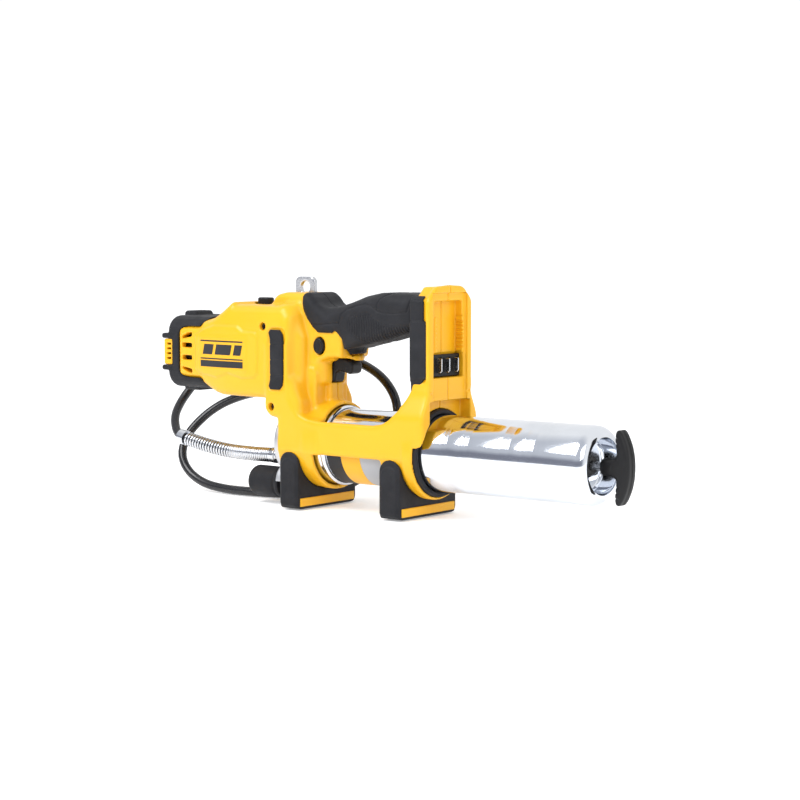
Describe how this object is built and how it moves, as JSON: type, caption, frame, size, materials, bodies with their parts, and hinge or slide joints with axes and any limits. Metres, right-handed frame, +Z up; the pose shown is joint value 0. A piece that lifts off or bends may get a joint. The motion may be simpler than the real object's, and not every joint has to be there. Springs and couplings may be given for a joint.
{
  "type": "cordless grease gun",
  "caption": "Cordless grease gun: motor and gearbox over a chrome cartridge barrel with a pull-back follower, loop handle with trigger, rubber feet and a high-pressure hose.",
  "frame": {"origin": "on the floor, under the middle of the tool's length, in its mirror plane", "axes": "+X from the motor to the T-handle along the barrel, +Z up, +Y to the side where the hose is stowed"},
  "size_m": [0.4623, 0.0911, 0.1774],
  "materials": {
    "yellow_housing": "moulded, fine texture, slight sheen",
    "soft_grip": "matte overmoulded elastomer",
    "black_plastic": "satin moulded",
    "chrome_tube": "bright plated",
    "turned_steel": "machined",
    "die_casting": "die-cast, satin",
    "winding": "enamelled copper winding on a steel core",
    "carbon": "pressed graphite",
    "plated_fitting": "zinc plated",
    "hose_cover": "smooth hose cover, slight sheen"
  },
  "bodies": {
    "body": {"housing_left": "yellow_housing", "housing_right": "yellow_housing", "nose_grille": "yellow_housing", "motor_bumper": "soft_grip", "grip_left": "soft_grip", "grip_right": "soft_grip", "side_pad_left": "soft_grip", "side_pad_right": "soft_grip", "front_foot": "soft_grip", "rear_foot": "soft_grip", "barrel_grommet": "soft_grip", "fill_port_boot": "soft_grip", "brush_holder": "black_plastic", "switch_module": "black_plastic", "terminal_block": "black_plastic", "barrel_socket": "chrome_tube", "ring_gear": "turned_steel", "output_bearing": "turned_steel", "motor_can": "turned_steel", "motor_bearing_front": "turned_steel", "motor_bearing_rear": "turned_steel", "trigger_pin": "turned_steel", "terminal_blade_1": "turned_steel", "terminal_blade_2": "turned_steel", "terminal_blade_3": "turned_steel", "hang_eyelet": "turned_steel", "housing_screw_upper": "turned_steel", "housing_screw_lower": "turned_steel", "pump_head": "die_casting", "gear_case": "die_casting", "motor_plate": "die_casting", "brush_upper": "carbon", "brush_lower": "carbon", "hose_fitting": "plated_fitting", "hose_guard_spring": "plated_fitting", "coupler_ferrule": "plated_fitting", "coupler": "plated_fitting", "hose": "hose_cover"},
    "rotor": {"motor_shaft": "turned_steel", "armature": "winding", "cooling_fan": "black_plastic", "sun_gear": "turned_steel"},
    "output": {"planet_carrier": "turned_steel", "crank": "turned_steel"},
    "planet_1": {"planet_gear_1": "turned_steel"},
    "planet_2": {"planet_gear_2": "turned_steel"},
    "planet_3": {"planet_gear_3": "turned_steel"},
    "pump_piston": {"plunger": "turned_steel", "scotch_yoke": "turned_steel"},
    "barrel": {"barrel": "chrome_tube", "rod_guide": "black_plastic", "follower_spring": "turned_steel"},
    "follower": {"follower_rod": "turned_steel", "follower_disc": "turned_steel", "follower_cup": "soft_grip", "t_handle": "black_plastic"},
    "trigger": {"trigger": "black_plastic"},
    "lock_button": {"lock_button": "black_plastic"},
    "light_button": {"light_button": "black_plastic"}
  },
  "joints": [
    {"name": "rotor_spin", "type": "hinge", "parent": "body", "child": "rotor", "pos_m": [-0.16, 0, 0.117], "axis": [1, 0, 0], "continuous": true},
    {"name": "output_spin", "type": "hinge", "parent": "body", "child": "output", "pos_m": [-0.105, 0, 0.117], "axis": [1, 0, 0], "continuous": true},
    {"name": "planet_spin_1", "type": "hinge", "parent": "output", "child": "planet_1", "pos_m": [-0.125, 0.0125, 0.117], "axis": [1, 0, 0], "continuous": true},
    {"name": "planet_spin_2", "type": "hinge", "parent": "output", "child": "planet_2", "pos_m": [-0.125, -0.00625, 0.12782], "axis": [1, 0, 0], "continuous": true},
    {"name": "planet_spin_3", "type": "hinge", "parent": "output", "child": "planet_3", "pos_m": [-0.125, -0.00625, 0.10618], "axis": [1, 0, 0], "continuous": true},
    {"name": "plunger_stroke", "type": "slide", "parent": "body", "child": "pump_piston", "axis": [0, 0, 1], "range_m": [-0.006, 0.006]},
    {"name": "barrel_withdraw", "type": "slide", "parent": "body", "child": "barrel", "axis": [1, 0, 0], "range_m": [0, 0.14]},
    {"name": "follower_slide", "type": "slide", "parent": "barrel", "child": "follower", "axis": [1, 0, 0], "range_m": [0, 0.19], "stiffness_N_per_m": 400, "springref_m": -0.05, "deforming": ["follower_spring"]},
    {"name": "trigger_pull", "type": "hinge", "parent": "body", "child": "trigger", "pos_m": [-0.066, 0, 0.113], "axis": [0, -1, 0], "range_deg": [0, 6], "stiffness_Nm_per_rad": 0.5, "springref_deg": -8.59},
    {"name": "lock_slide", "type": "slide", "parent": "body", "child": "lock_button", "axis": [0, 1, 0], "range_m": [-0.0025, 0.0025]},
    {"name": "light_press", "type": "slide", "parent": "body", "child": "light_button", "axis": [0, 0, -1], "range_m": [0, 0.0012], "stiffness_N_per_m": 300, "springref_m": -0.002}
  ],
  "couplings": [
    {"joint": "output_spin", "follows": "rotor_spin", "ratio": 0.2},
    {"joint": "planet_spin_1", "follows": "rotor_spin", "ratio": -0.53333},
    {"joint": "planet_spin_2", "follows": "rotor_spin", "ratio": -0.53333},
    {"joint": "planet_spin_3", "follows": "rotor_spin", "ratio": -0.53333}
  ]
}
